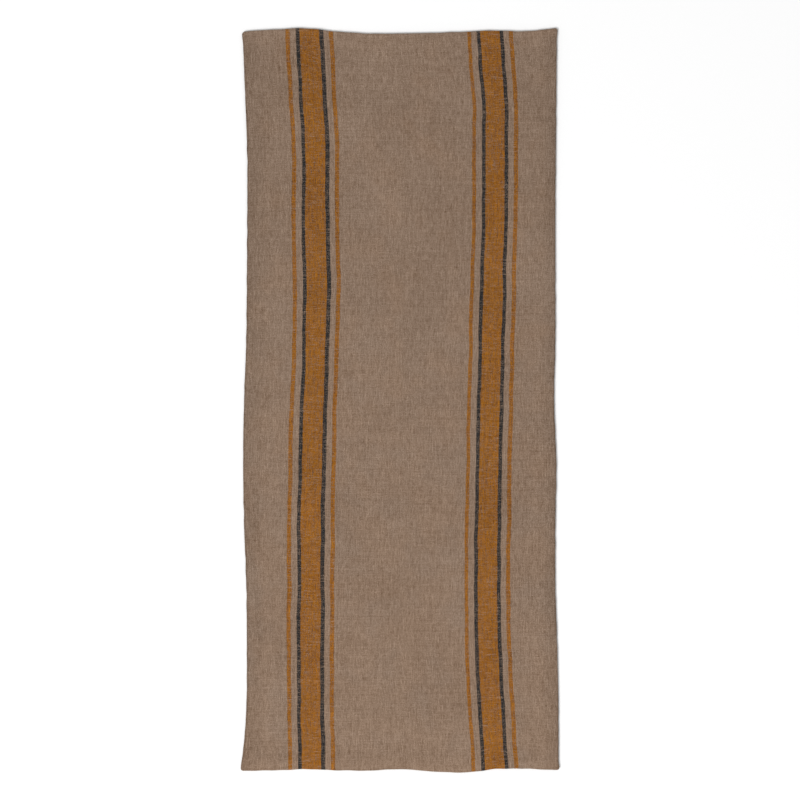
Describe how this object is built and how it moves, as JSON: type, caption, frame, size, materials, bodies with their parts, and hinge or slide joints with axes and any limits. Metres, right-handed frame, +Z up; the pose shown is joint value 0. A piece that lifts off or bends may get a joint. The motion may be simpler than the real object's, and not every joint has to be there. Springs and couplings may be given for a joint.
{
  "type": "table runner",
  "caption": "Lined linen table runner: a striped face cloth and a plain back cloth sewn together round the edge, turned right side out and closed by hand, lying flat.",
  "frame": {"origin": "on the table surface, under the middle of the runner", "axes": "+Y along the runner's length, +X across its width, +Z up out of the striped face"},
  "size_m": [0.5, 1.2, 0.0035],
  "materials": {
    "striped_linen": "washed plain-weave linen in a taupe ground with woven ochre and charcoal stripes, matte",
    "plain_linen": "washed plain-weave linen in plain taupe, matte",
    "sewing_thread": "taupe polyester sewing thread, slight sheen"
  },
  "bodies": {
    "root": {"face_panel": "striped_linen", "back_panel": "plain_linen", "seam_needle_thread": "sewing_thread", "seam_bobbin_thread": "sewing_thread", "closing_thread": "sewing_thread"}
  },
  "joints": []
}
